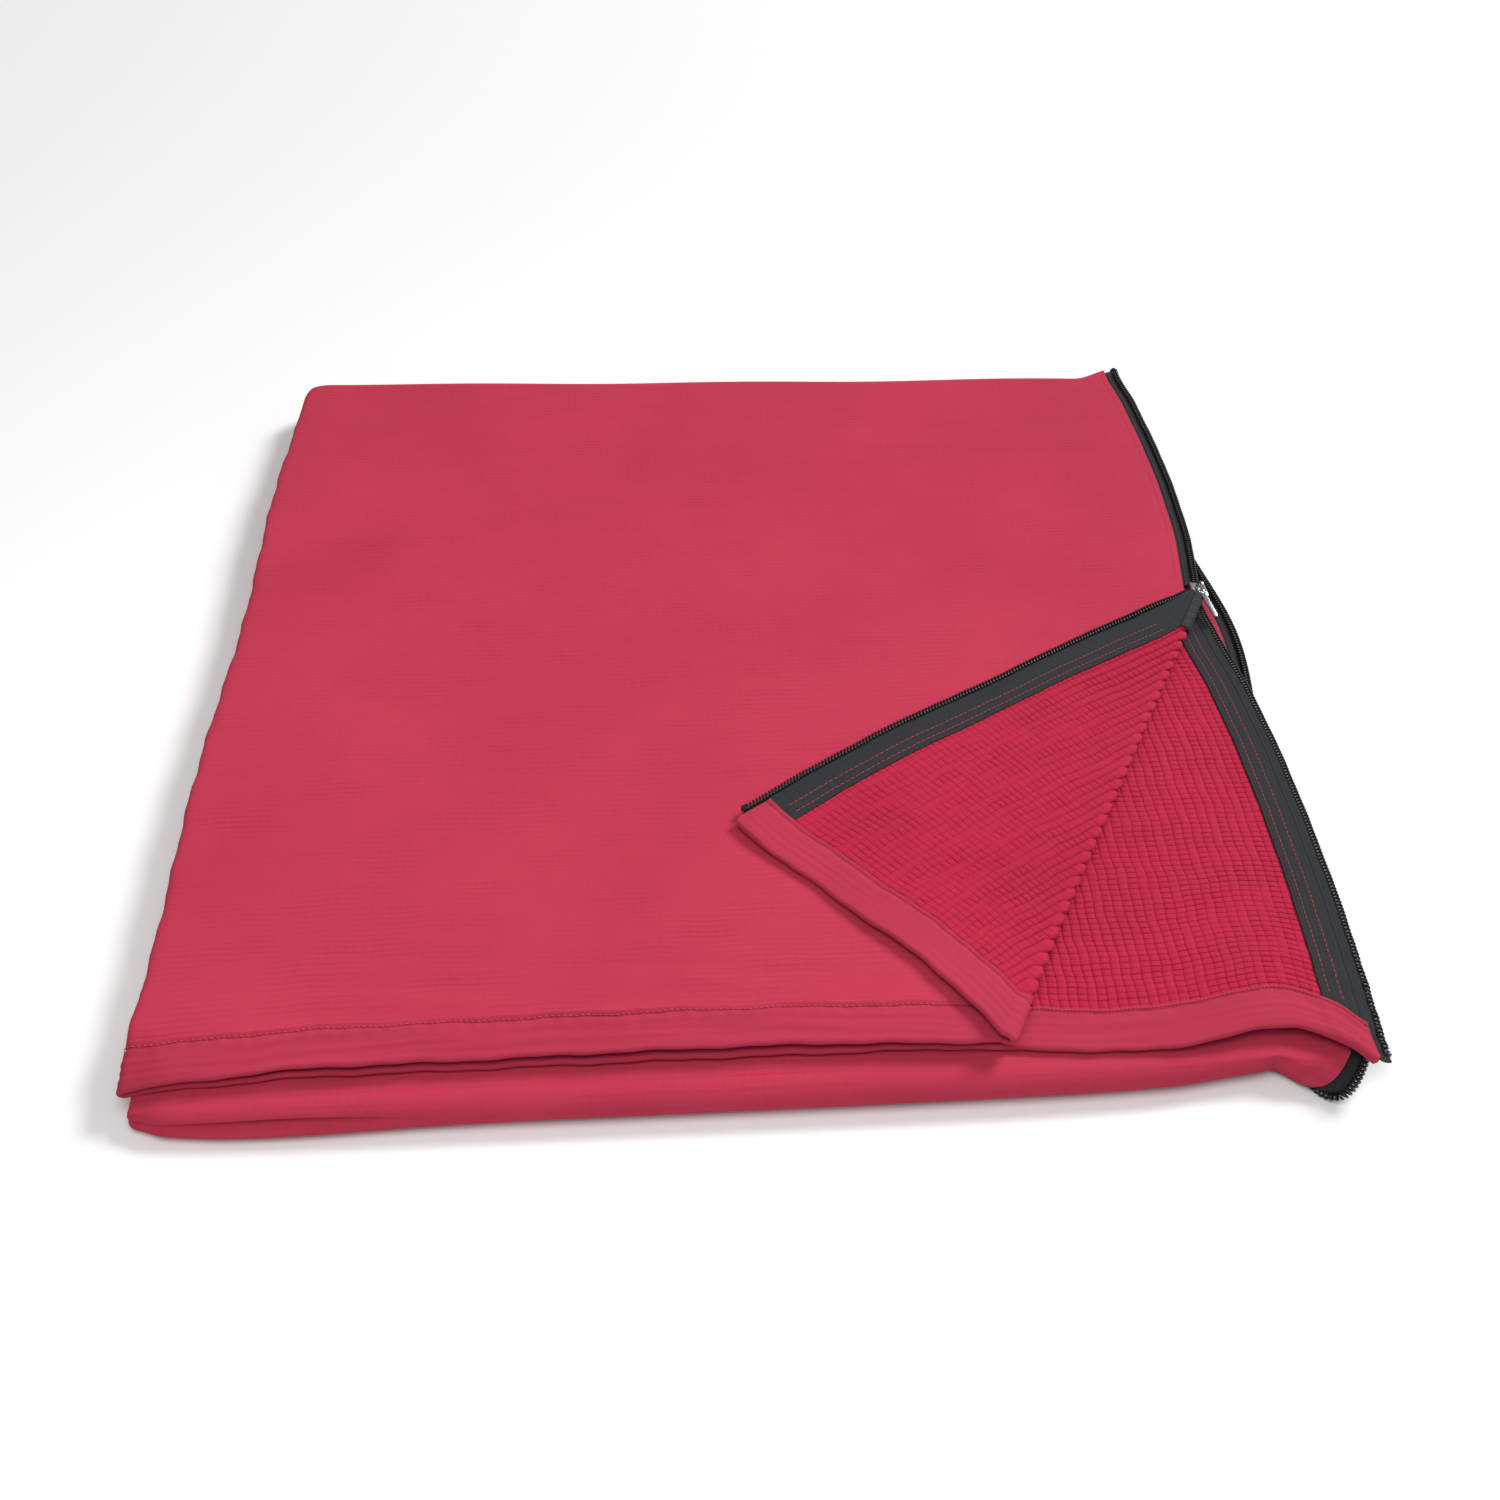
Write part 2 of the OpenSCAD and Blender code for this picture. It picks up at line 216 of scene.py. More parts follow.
def corner_drop(x, y):
    """How far the top sinks at the left front corner, where nothing holds it up."""
    wide = ramp(-x, 235, 335) * ramp(-y, 290, 345)
    close = ramp(-x, 325, 354) * ramp(-y, 300, 345)
    return -5.0 * wide - 5.0 * close


def line_shift(y):
    """Move along the fold line at height y, which leaves the turned corner whole."""
    return 11.0 * ramp(-y, HEAD_FROM, HEAD_TO)


def back_end(x, y):
    """dx, dy at the back: the edge runs askew, peaks at the zipper and is round at the left."""
    dx = 1.6 * np.sin(y / 47 + 0.6) * ramp(-x, 230, 350)
    dy = ramp(y, 20, 345) * (2 - 0.038 * x + 1.8 * np.sin(x / 88) + np.sin(x / 37 + 1)
                             + 18 * ramp(x, 308, 350))
    round_x, round_y = 20.5, 24
    u = np.clip((LEFT - HALF - x) / round_x + 1, 0, 1)
    v = np.clip((y - DEPTH - BEND - HALF) / round_y + 1, 0, 1)
    return (dx + round_x * u * (1 - np.sqrt(1 - v * v / 2)),
            dy - round_y * v * (1 - np.sqrt(1 - u * u / 2)))


def chain_bow(x, y, front_side, upper, middle, lower):
    """dx of the zipper's side, which bows out to the right in every layer."""
    held = front_side * near_line(x, y, GRIPPED) * ramp(-y, -70, -30)
    middle_bow = 4 + 16 * bump(y, 15, 90)
    return ramp(x, 190, 345) * (upper * zip_bow(y) * (1 - held) + middle * middle_bow + lower * 3)


def head_end(x, y, front_side, held):
    """dx, dy of the upper layer: its head end lies askew and slides along the fold line."""
    askew = ramp(-y, HEAD_FROM, HEAD_TO) * head_shift(x, np.where(front_side, 1, -1))
    slide = held * line_shift(y)
    wx, wy = wander(x, y)
    loose = 1 - ramp(y, 250, 330)
    return (slide * ALONG[0] + wx * loose,
            askew * (1 - held) + slide * ALONG[1] + wy * loose)


def front_roll(x, y, z, s):
    """dx, dy, dz of the two lower layers at the front, where they join in a roll."""
    roll = np.clip((-DEPTH - y) / (BEND + HALF), 0, 1)
    # the lower layer is tucked in at the zipper, and pulls the roll to the left
    tuck = np.clip((s - S_FRONT) / TURN, 0, 1) * ramp(-y, 120, 335)
    pulled = (5 * ramp(-y, 250, 340) + 37 * tuck) * ramp(x, 110, 346)
    xs = x - pulled
    left_in = 6 * ramp(-x, 290, 352) * ramp(-y, 270, 335)
    zipper_loop = roll * ramp(x, 329, 348)
    depth = through(xs, (-355, -6), (-332, 0), (-250, 2), (-100, 3), (120, 2.5), (230, 0),
                    (281, -6), (300, -3), (325, 1), (350, 0))
    # a lip over a crease, at the left
    lip = 5.0 * bump(z, 12.5, 2.0) - 5.0 * bump(z, 5.5, 4.5)
    dy = roll * (bump(x, -270, 75) * lip - depth + 4.0 * bump(xs, 291, 6)) - 12 * zipper_loop
    hump = through(xs, (180, 0), (255, 2.5), (285, 4.5), (300, 3.0), (330, 0))
    dz = ramp(-y, 250, 345) * hump * (1 - 0.5 * level(z)) - 5.5 * zipper_loop
    return left_in - pulled, dy, dz


def settle(x, y, z, s, h):
    """The moves of a point of the folded tube whose undisturbed place is (x, y, z)."""
    upper = 1 - ramp(s, S_BACK + 0.2 * TURN, S_BACK + 0.8 * TURN)
    lower = ramp(s, S_FRONT - 0.1 * TURN, S_FRONT + 1.1 * TURN)
    middle = 1 - upper - lower
    front_side = h > 0
    held = front_side * near_line(x, y, HELD)
    back_x, back_y = back_end(x, y)
    head_x, head_y = head_end(x, y, front_side, held)
    roll_x, roll_y, roll_z = front_roll(x, y, z, s)
    below = 1 - upper
    dx = (back_x + chain_bow(x, y, front_side, upper, middle, lower) + upper * head_x
          + below * roll_x)
    dy = back_y + upper * head_y + below * roll_y
    stack = level(z) * (top_wave(x, y) + corner_drop(x, y))
    ruffle = head_ruffle(x, y) * (1 - held) * np.where(front_side, 1, 0.6)
    back_panel_lift = np.where(front_side, 0, 1) * 6.0 * bump(x, 288, 46) * ramp(-y, 235, 335)
    middle_sag = 3.5 * middle * bump(x, 285, 48) * ramp(-y, 285, 338)
    foot_pinch = np.sign(h) * 1.7 * ramp(s, S_FOOT - 12, S_FOOT - 2)
    dz = stack + upper * (ruffle + back_panel_lift) + below * roll_z - middle_sag - foot_pinch
    return dx, dy, dz


# ---- Places on the cloth ----
def across(a):
    """x, offset h from the layer's middle, and outward direction of the tube at a."""
    t = np.clip(-a / HALF, 0, math.pi)
    x = np.where(a >= 0, LEFT + a, np.where(a > -SIDE, LEFT - HALF * np.sin(t), LEFT - a - SIDE))
    return x, HALF * np.cos(t), -np.sin(t), np.cos(t)


def along(s, h):
    """y and z at path length s, at offset h, and the direction in which h grows."""
    tb = np.clip((s - S_BACK) / BEND, 0, math.pi)
    tf = np.clip((s - S_FRONT) / BEND, 0, math.pi)
    rb, rf = BEND + h, BEND - h
    zone = [s <= S_BACK, s < S_MID, s <= S_FRONT, s < S_LOW]
    y = np.select(zone, [s - DEPTH, DEPTH + rb * np.sin(tb), DEPTH - (s - S_MID),
                         -DEPTH - rf * np.sin(tf)], s - S_LOW - DEPTH)
    z = np.select(zone, [MID[2] + h, BACK_FOLD_Z + rb * np.cos(tb), MID[1] - h,
                         FRONT_FOLD_Z + rf * np.cos(tf)], MID[0] + h)
    uy = np.select(zone, [0 * s, np.sin(tb), 0 * s, np.sin(tf)], 0 * s)
    uz = np.select(zone, [0 * s + 1, np.cos(tb), 0 * s - 1, -np.cos(tf)], 0 * s + 1)
    return y, z, uy, uz


def tube_at(x, h, nx, nh, s):
    """Settled place and outward direction at (x, h) of the cross-section, at path length s."""
    y, z, uy, uz = along(s, h)
    dx, dy, dz = settle(x, y, z, s, h)
    return columns(x + dx, y + dy, z + dz), columns(nx, nh * uy, nh * uz)


def tube(a, s):
    """Settled place and outward direction of the cloth's middle surface at (a, s)."""
    x, h, nx, nh = across(a)
    return tube_at(x, h, nx, nh, s)


def flap_lift(x, y):
    """How far the turned corner stands off the top, at its place at rest."""
    d = np.abs(line_distance(x, y))
    head = np.hypot(x - fold_x(-DEPTH) - 5, y + DEPTH - 14)
    puff = 3.8 * bump(head, 0, 70) + 0.8 * ramp(d, 0, 60)
    from_slider = np.hypot(x - PIVOT[0], y - PIVOT[1])
    angle = np.arctan2(y - PIVOT[1], x - PIVOT[0])
    pleats = 1.0 * np.sin(angle * 34) * np.exp(-from_slider / 75) * ramp(from_slider, 12, 45)
    soft = 0.5 * np.sin(d / 17 + from_slider / 45) * ramp(d, 6, 40)
    return puff + np.abs(pleats) + soft


def flap(x, y, h=HALF):
    """Settled place of the turned corner, from its place when closed."""
    held = near_line(x, y, HELD)
    head = ramp(-y, HEAD_FROM, HEAD_TO)
    bow = through(y, (-350, 9), (-260, 13), (-137, 8), (-46, 5), (50, 0)) * ramp(x, 190, 345)
    shift = through(x, (130, 11), (200, 6), (270, -8), (345, -22)) * head * (1 - held)
    slide = line_shift(y) * held
    wx, wy = wander(x, y)
    x1 = x + bow * (1 - near_line(x, y, GRIPPED)) + slide * ALONG[0] + wx
    y1 = y + shift + slide * ALONG[1] + wy
    d1 = line_distance(x1, y1)
    x2, y2 = x1 - 2 * d1 * ACROSS[0], y1 - 2 * d1 * ACROSS[1]
    z = 2 * PIVOT[2] - (MID[2] + h) + top_wave(x2, y2) + flap_lift(x2, y2)
    return columns(x2, y2, z), columns(0 * x, 0 * x, 0 * x - 1)


def bend(t, phi):
    """Settled place on the rolled edge, t along the fold line and phi round it."""
    x0, y0 = PIVOT[0] + t * ALONG[0], PIVOT[1] + t * ALONG[1]
    slide = line_shift(y0)
    xs, ys = x0 + slide * ALONG[0], y0 + slide * ALONG[1]
    rise = smooth((np.sin(phi) + 1) / 2)
    plump = 1.6 + 0.5 * flap_lift(xs, ys) + 1.6 * bump(t, LINE_FRONT, 45)
    out = (BEND_R + plump) * np.cos(phi)
    x, y = xs + out * ACROSS[0], ys + out * ACROSS[1]
    base = top_wave(x0, y0)
    wave = base + rise * (flap_lift(xs, ys) + top_wave(xs, ys) - base)
    z = PIVOT[2] + BEND_R * np.sin(phi) + wave
    n = -np.cos(phi)
    return columns(x, y, z), columns(n * ACROSS[0], n * ACROSS[1], -np.sin(phi))


def hollow(v, pitch, width):
    """1 in the grooves of a row of ribs, rounding up to 0 on top of them."""
    f = np.mod(v / pitch, 1)
    e = np.clip(np.minimum(f, 1 - f) / width, 0, 1)
    return 1 - np.sqrt(1 - (1 - e) ** 2)


def uneven(a, b):
    """A different number from 0 to 1 for every pad of the grid."""
    ia, ib = np.floor(a / PAD_X), np.floor(b / PAD_Y)
    return 0.5 + 0.5 * np.sin(ia * 12.9 + ib * 78.2) * np.cos(ia * 3.7 - ib * 9.1)


def grid_relief(a, b, rib_depth, notch_depth):
    """Height of the fleece's inner face over the cloth's middle: ribs cut across by notches."""
    ribs = rib_depth * hollow(a, PAD_X, 0.5)
    notches = notch_depth * hollow(b, PAD_Y, 0.25) * (0.2 + 0.8 * uneven(a, b))
    return HALF_CLOTH + 0.3 - ribs - notches - 0.2 * uneven(b, a)


# ---- Meshes ----
def pad_lines(low, high, step):
    """Mesh lines that run in the grooves and over the pads of the grid."""
    cells = np.arange(math.floor(low / step), math.ceil(high / step) + 1)
    lines = (cells[:, None] + np.array([0, 0.1, 0.25, 0.5, 0.75, 0.9])[None, :]).ravel() * step
    return np.concatenate([[low], lines[(lines > low + 0.05) & (lines < high - 0.05)], [high]])


def steps(low, high, step):
    """Even mesh lines from low to high, about a step apart."""
    return np.linspace(low, high, max(2, int(round((high - low) / step)) + 1))


def flat_sheet(us, vs, cuts=()):
    """Points and faces of a flat grid, trimmed to the inner side of each (point, direction)."""
    u, v = np.meshgrid(us, vs, indexing="ij")
    points = np.stack([u.ravel(), v.ravel(), np.zeros(u.size)], 1)
    n = len(vs)
    i = np.arange(len(us) - 1)[:, None] * n + np.arange(n - 1)[None, :]
    quads = np.stack([i, i + n, i + n + 1, i + 1], -1).reshape(-1, 4)
    for point, out in cuts:
        side = (points[:, 0] - point[0]) * out[0] + (points[:, 1] - point[1]) * out[1]
        quads = quads[(side[quads] < 0).any(1)]
    if not cuts:
        return points[:, :2], [tuple(q) for q in quads.tolist()]
    used, quads = np.unique(quads, return_inverse=True)
    mesh = bpy.data.meshes.new("flat")
    mesh.from_pydata(points[used].tolist(), [], quads.reshape(-1, 4).tolist())
    bm = bmesh.new()
    bm.from_mesh(mesh)
    for point, out in cuts:
        bmesh.ops.bisect_plane(bm, geom=bm.verts[:] + bm.edges[:] + bm.faces[:], dist=1e-4,
                               plane_co=(*point, 0), plane_no=(*out, 0), clear_outer=True)
    bm.to_mesh(mesh)
    bm.free()
    co = np.empty(len(mesh.vertices) * 3)
    mesh.vertices.foreach_get("co", co)
    faces = [tuple(p.vertices) for p in mesh.polygons]
    bpy.data.meshes.remove(mesh)
    return co.reshape(-1, 3)[:, :2], faces


def rim(faces):
    """Directed edges that belong to one face only."""
    edges = {}
    for f in faces:
        for i, j in zip(f, f[1:] + f[:1]):
            if edges.pop((j, i), None) is None:
                edges[(i, j)] = True
    return list(edges)


def add_object(name, data):
    """A new object in the scene."""
    made = bpy.data.objects.new(name, data)
    bpy.context.scene.collection.objects.link(made)
    return made


def make_object(name, points, faces, materials, index=None, coords=None):
    """A mesh object in metres, smooth shaded, with cloth coordinates for its material."""
    mesh = bpy.data.meshes.new(name)
    mesh.from_pydata((np.asarray(points) * MM).tolist(), [], faces)
    for m in materials:
        mesh.materials.append(m)
    if index is not None:
        mesh.polygons.foreach_set("material_index", index)
    if coords is not None:
        layer = mesh.attributes.new("cloth", "FLOAT_VECTOR", "POINT")
        layer.data.foreach_set("vector", (np.asarray(coords) * MM).astype(np.float32).ravel())
    mesh.polygons.foreach_set("use_smooth", [True] * len(faces))
    mesh.set_sharp_from_angle(angle=math.radians(50))
    mesh.validate()
    mesh.update()
    return add_object(name, mesh)


def shell(name, flat, place, out, inn, materials, coords=None):
    """A closed sheet: outer face out, inner face inn from the middle surface place gives."""
    uv, faces = flat
    u, v = uv[:, 0], uv[:, 1]
    n = len(uv)
    middle, normal = place(u, v)
    grow_out = (out(u, v) if callable(out) else out) * np.ones(n)
    grow_in = (inn(u, v) if callable(inn) else inn) * np.ones(n)
    points = np.concatenate([middle + normal * grow_out[:, None],
                             middle - normal * grow_in[:, None]])
    f = faces[len(faces) // 2]
    p = points[list(f)]
    turned = np.dot(np.cross(p[1] - p[0], p[2] - p[0]), normal[f[0]]) < 0
    sides = [(j, i, i + n, j + n) for i, j in rim(faces)]
    inner = [tuple(i + n for i in reversed(g)) for g in faces]
    everything = faces + inner + sides
    if turned:
        everything = [g[::-1] for g in everything]
    index = [0] * len(faces) + [len(materials) - 1] * len(inner) + [0] * len(sides)
    cloth = uv if coords is None else np.stack(coords(u, v), 1)
    cloth = np.column_stack([np.concatenate([cloth, cloth]), np.zeros(2 * n)])
    return make_object(name, points, everything, materials, index, cloth)


def on_body(obj, slot, body, *nodes):
    """Rides on one body, or, given two bodies and two heights, only has its place baked in;
    stands for CAD nodes.
    """
    if isinstance(body, str):
        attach(obj, body)
    else:
        a, b, low, high = body
        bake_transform(obj)
    if nodes:
        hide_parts(*nodes)


# ---- Materials ----
def feed(socket, value):
    """Links a node's output to a socket, or sets the socket's own value."""
    if isinstance(value, bpy.types.NodeSocket):
        socket.id_data.links.new(value, socket)
    else:
        socket.default_value = value


def nodes_of(name):
    """A material with one shader, and short ways to add nodes to it and to calculate."""
    material = bpy.data.materials.new(name)
    material.use_nodes = True
    tree = material.node_tree
    tree.nodes.clear()
    shader = tree.nodes.new("ShaderNodeBsdfPrincipled")
    output = tree.nodes.new("ShaderNodeOutputMaterial")
    tree.links.new(shader.outputs[0], output.inputs[0])

    def node(kind, *inputs, **settings):
        made = tree.nodes.new("ShaderNode" + kind)
        for key, value in settings.items():
            if key[0].isupper():
                made.inputs[key].default_value = value
            else:
                setattr(made, key, value)
        for i, value in enumerate(inputs):
            feed(made.inputs[i], value)
        return made.outputs[0]

    def calc(kind, *values):
        return node("Math", *values, operation=kind)

    return material, shader, node, calc


def groove(calc, coordinate, pitch, width):
    """1 in the groove of a grid, falling to 0 on the pads."""
    f = calc("FRACT", calc("DIVIDE", coordinate, pitch * MM))
    edge = calc("MINIMUM", f, calc("SUBTRACT", 1.0, f))
    return calc("SUBTRACT", 1.0, calc("MINIMUM", calc("DIVIDE", edge, width), 1.0))


def mixed(node, kind, amount, one, two):
    """Two colours, mixed by an amount in the given way."""
    made = node("Mix", data_type="RGBA", blend_type=kind).node
    # a Mix node's colours are its inputs 6 and 7 and its output 2
    for i, value in ((0, amount), (6, one), (7, two)):
        feed(made.inputs[i], value)
    return made.outputs[2]


def cloth_material(name, light, dark, print_depth, painted_groove_shade, fuzz=0.2):
    """Brushed fleece: fibre noise, soft blotches, the knitted grid's bumps shown in patches, and
    painted shade in the grid's grooves.
    """
    material, shader, node, calc = nodes_of(name)
    place = node("Attribute", attribute_name="cloth").node.outputs["Vector"]
    split = node("SeparateXYZ", place).node
    ga = groove(calc, split.outputs[0], PAD_X, 0.24)
    gb = groove(calc, split.outputs[1], PAD_Y, 0.2)
    grid = calc("MAXIMUM", calc("MULTIPLY", ga, 0.35), gb)
    world = node("TexCoord").node.outputs["Object"]
    stretch = node("Mapping", place, Scale=(700, 2600, 1)).node.outputs[0]
    fibre = node("TexNoise", stretch, Scale=1.0, Detail=6.0, Roughness=0.65)
    fine = node("TexNoise", world, Scale=1500.0, Detail=4.0, Roughness=0.6)
    blotch = node("TexNoise", world, Scale=9.0, Detail=3.0, Roughness=0.5)
    long_patches = node("Mapping", world, Scale=(1.0, 2.6, 1.0)).node.outputs[0]
    patchy = node("TexNoise", long_patches, Scale=22.0, Detail=3.0, Roughness=0.55)
    tone = calc("ADD", calc("MULTIPLY", fibre, 0.45), calc("MULTIPLY", blotch, 0.55))
    tone = calc("ADD", calc("MULTIPLY", calc("SUBTRACT", tone, 0.5), 1.7), 0.5)
    colour = mixed(node, "MIX", tone, (*dark, 1), (*light, 1))
    patchy = calc("MAXIMUM", calc("MULTIPLY", calc("SUBTRACT", patchy, 0.36), 3.2), 0.0)
    # painted shade: in patches, the colour is darkened towards a dull red in the grid's grooves,
    # where shade would fall
    painted_shade = calc("MULTIPLY", grid, calc("MULTIPLY", patchy, painted_groove_shade))
    colour = mixed(node, "MULTIPLY", painted_shade, colour, (0.45, 0.2, 0.3, 1))
    height = calc("SUBTRACT", calc("MULTIPLY", calc("ADD", fibre, fine), fuzz),
                  calc("MULTIPLY", calc("MULTIPLY", grid, patchy), print_depth))
    bumped = node("Bump", Strength=1.0, Distance=0.001).node
    for socket in ("Filter Width", "Height"):
        feed(bumped.inputs[socket], height)
    for socket, value in (
            ("Base Color", colour), ("Roughness", calc("ADD", calc("MULTIPLY", fine, 0.1), 0.82)),
            ("Specular IOR Level", 0.12), ("Sheen Weight", 0.03), ("Sheen Roughness", 0.45),
            ("Sheen Tint", (1.0, 0.55, 0.62, 1)), ("Normal", bumped.outputs[0])):
        feed(shader.inputs[socket], value)
    return material


def plain_material(name, light, dark, rough, metallic=0.0, depth=0.2, ribs=0.0, specular=0.3):
    """Tape, coil, thread or metal: fine variation, and a woven rib where asked for."""
    material, shader, node, calc = nodes_of(name)
    world = node("TexCoord").node.outputs["Object"]
    fine = node("TexNoise", world, Scale=900.0, Detail=4.0, Roughness=0.6)
    height = calc("MULTIPLY", fine, depth)
    tone = fine
    if ribs:
        place = node("Attribute", attribute_name="cloth").node.outputs["Vector"]
        split = node("SeparateXYZ", place).node
        lean = calc("PINGPONG", split.outputs[0], 0.0022)
        wave = calc("SINE", calc("MULTIPLY", calc("ADD", lean, split.outputs[1]), 5200.0))
        cord = calc("SINE", calc("MULTIPLY", split.outputs[0], 2850.0))
        weave = calc("ADD", calc("MULTIPLY", wave, 0.5), calc("MULTIPLY", cord, 0.25))
        height = calc("ADD", height, calc("MULTIPLY", weave, ribs))
        tone = calc("ADD", calc("MULTIPLY", weave, 0.4), fine)
    colour = mixed(node, "MIX", tone, (*dark, 1), (*light, 1))
    bumped = node("Bump", Strength=0.8, Distance=0.0006).node
    feed(bumped.inputs["Height"], height)
    uneven_rough = calc("ADD", calc("MULTIPLY", fine, 0.16), rough - 0.08)
    for socket, value in (
            ("Base Color", colour), ("Roughness", uneven_rough), ("Metallic", metallic),
            ("Specular IOR Level", specular), ("Normal", bumped.outputs[0])):
        feed(shader.inputs[socket], value)
    return material


# name, light colour, dark colour
OUTER = cloth_material("outer_cloth", (0.54, 0.043, 0.086), (0.41, 0.028, 0.060),
                       print_depth=0.16, painted_groove_shade=0.2)
GRID = cloth_material("grid_fleece", (0.50, 0.021, 0.060), (0.38, 0.013, 0.043),
                      print_depth=0.15, painted_groove_shade=0.5)
HEMMED = cloth_material("hem_cloth", (0.49, 0.039, 0.080), (0.35, 0.024, 0.053),
                        print_depth=0.0, painted_groove_shade=0.0, fuzz=0.24)
TAPE_MAT = plain_material("zipper_tape", (0.030, 0.032, 0.036), (0.010, 0.011, 0.013),
                          rough=0.8, ribs=0.5)
COIL_MAT = plain_material("zipper_coil", (0.008, 0.008, 0.009), (0.003, 0.003, 0.004),
                          rough=0.26, depth=0.05, specular=0.6)
METAL = plain_material("zipper_metal", (0.50, 0.50, 0.52), (0.24, 0.24, 0.26),
                       rough=0.26, metallic=1.0, depth=0.03)
THREAD = plain_material("thread", (0.62, 0.055, 0.13), (0.45, 0.03, 0.08), rough=0.7, depth=0.3)

# ---- Pieces round a fold: the body below, the body above, and the low and high height between them; on_body only bakes these pieces in place ----
REACH = 6.5
BACK_FOLD = ("middle_layer", "upper_layer", BACK_FOLD_Z - REACH, BACK_FOLD_Z + REACH)
FRONT_FOLD = ("lower_layer", "middle_layer", FRONT_FOLD_Z - REACH, FRONT_FOLD_Z + REACH)
CORNER_FOLD = ("upper_layer", "corner_flap", PIVOT[2] - 1.6, PIVOT[2] + 3.0)


# ---- Cloth of the tube ----
def inner_relief(a, b):
    """Ribs of the back panel's bared face, worn down in patches."""
    worn = 0.5 + 0.5 * np.sin(a / 31 + 1) * np.sin(b / 43)
    return grid_relief(a, b, 0.55 + 0.25 * worn, 0.75 - 0.2 * worn)


def flap_relief(x, y):
    """Ribs of the turned corner, deepest beside its fold line and beside the zipper."""
    beside_fold = np.exp(-np.abs(line_distance(x, y)) / 24)
    beside_zip = bump(x, 318, 26) * ramp(y, -170, -60)
    return grid_relief(x, y, 0.65 + 1.0 * beside_fold + 0.9 * beside_zip,
                       0.5 * (1 - 0.6 * beside_fold))


def back_a(x):
    """Cloth coordinate a of the back panel at x."""
    return -SIDE - (x - LEFT)


def tube_sheet(name, s0, s1, step, body, nodes, cuts=()):
    """One stretch of the tube from s0 to s1, with its flat size in metres."""
    side = steps(-SIDE, 0, 1.4)
    us = np.concatenate([steps(A_BACK, -SIDE, step)[:-1], side, steps(0, A_FRONT, step)[1:]])
    piece = shell(name, flat_sheet(us, steps(s0, s1, step), cuts), tube,
                  HALF_CLOTH, HALF_CLOTH, [OUTER, GRID])
    on_body(piece, "outer_cloth", body, *nodes)
    flat = ((A_FRONT - A_BACK) * MM, (s1 - s0) * MM)
    return piece, flat


# the cuts: (a point of the line, direction of the side that is cut away)
front_cut = (np.array([fold_x(HEM_Y) - LEFT, HEM]), ACROSS[:2])
FINE_MARGIN = 26.0           # how far the fine relief goes on under the turned corner
fine_start = np.array([back_a(fold_x(HEM_Y) - FINE_MARGIN), HEM])
back_out = np.array([-ACROSS[0], ACROSS[1]])
upper, flat = tube_sheet(
    "cloth_upper", HEM, S_BACK, 4.4, "upper_layer",
    ["back_panel_upper", "front_panel_upper", "side_fold_upper"],
    [front_cut, (fine_start, back_out)])

# the bared part of the back panel, with its ribs as real relief
FINE_END_Y = 86
inner = shell(
    "inner_face_exposed",
    flat_sheet(pad_lines(A_BACK, fine_start[0], PAD_X),
               pad_lines(HEM, FINE_END_Y + DEPTH, PAD_Y), [(fine_start, -back_out)]),
    tube, HALF_CLOTH, inner_relief, [OUTER, GRID])
on_body(inner, "grid_fleece", "upper_layer")

back_fold, flat = tube_sheet("cloth_back_fold", S_BACK, S_MID, 2.2, BACK_FOLD, [
    "back_fold_outer", "back_fold_inner", "back_fold_side"])
middle, flat = tube_sheet("cloth_middle", S_MID, S_FRONT, 7.0, "middle_layer", [
    "back_panel_middle", "front_panel_middle", "side_fold_middle"])
front_fold, flat = tube_sheet("cloth_front_fold", S_FRONT, S_LOW, 0.9, FRONT_FOLD, [
    "front_fold_outer", "front_fold_inner", "front_fold_side"])
lower, flat = tube_sheet("cloth_lower", S_LOW, S_FOOT, 7.0, "lower_layer", [
    "back_panel_lower", "front_panel_lower", "side_fold_lower"])

# ---- The turned corner ----
# the rolled edge takes up some cloth, so the grid goes on that much farther over the corner
ROLLED = ACROSS * math.pi * BEND_R
FLAP_TOP_Y = 45


def flap_cloth(u, v):
    """Settled place of the turned corner at the grid's own coordinates."""
    return flap(u - ROLLED[0], v - ROLLED[1])


flap_line = (np.array([fold_x(HEM_Y), HEM_Y]) + ROLLED[:2], -ACROSS[:2])
corner = shell(
    "cloth_flap",
    flat_sheet(pad_lines(fold_x(HEM_Y), RIGHT + ROLLED[0], PAD_X),
               pad_lines(HEM_Y + ROLLED[1], FLAP_TOP_Y, PAD_Y), [flap_line]),
    flap_cloth, HALF_CLOTH, flap_relief, [OUTER, GRID])
on_body(corner, "grid_fleece", "corner_flap", "flap_panel")

t_hem = (HEM_Y - PIVOT[1]) / ALONG[1]
t_top = (RIGHT - PIVOT[0]) / ALONG[0]


def bend_grid(t, q):
    """The grid's own coordinates on the rolled edge, with q from -90 to 90 degrees round it."""
    x = PIVOT[0] + t * ALONG[0] + (q + 90) / 180 * ROLLED[0]
    y = PIVOT[1] + t * ALONG[1] + (q + 90) / 180 * ROLLED[1]
    return x, y


def bend_place(t, q):
    """Settled place on the rolled edge, with q in degrees."""
    return bend(t, np.radians(q))


def bend_inner(t, q):
    """Ribs of the rolled edge, which stand out most on its crown."""
    x, y = bend_grid(t, q)
    crown = np.cos(np.radians(q))
    return flap_relief(x, y) + crown * (0.9 - 0.9 * hollow(x, PAD_X, 0.5))


rolled = shell(
    "cloth_corner_bend", flat_sheet(steps(t_hem, t_top, 0.8), steps(-90, 90, 7.5)),
    bend_place, HALF_CLOTH, bend_inner, [OUTER, GRID], bend_grid)
on_body(rolled, "grid_fleece", CORNER_FOLD)

# ---- Hems: e is the distance from the hem's edge ----
HEM_ROWS = np.concatenate([[0.02, 0.15, 0.5, 1.0, 1.6, 2.3, 3.2], steps(4.4, 22, 1.25),
                           [23.2, 24.2, 24.7, 25, 25.3, 25.8, 26.6, HEM]])
STITCH = 25.0
THINNEST = 0.02


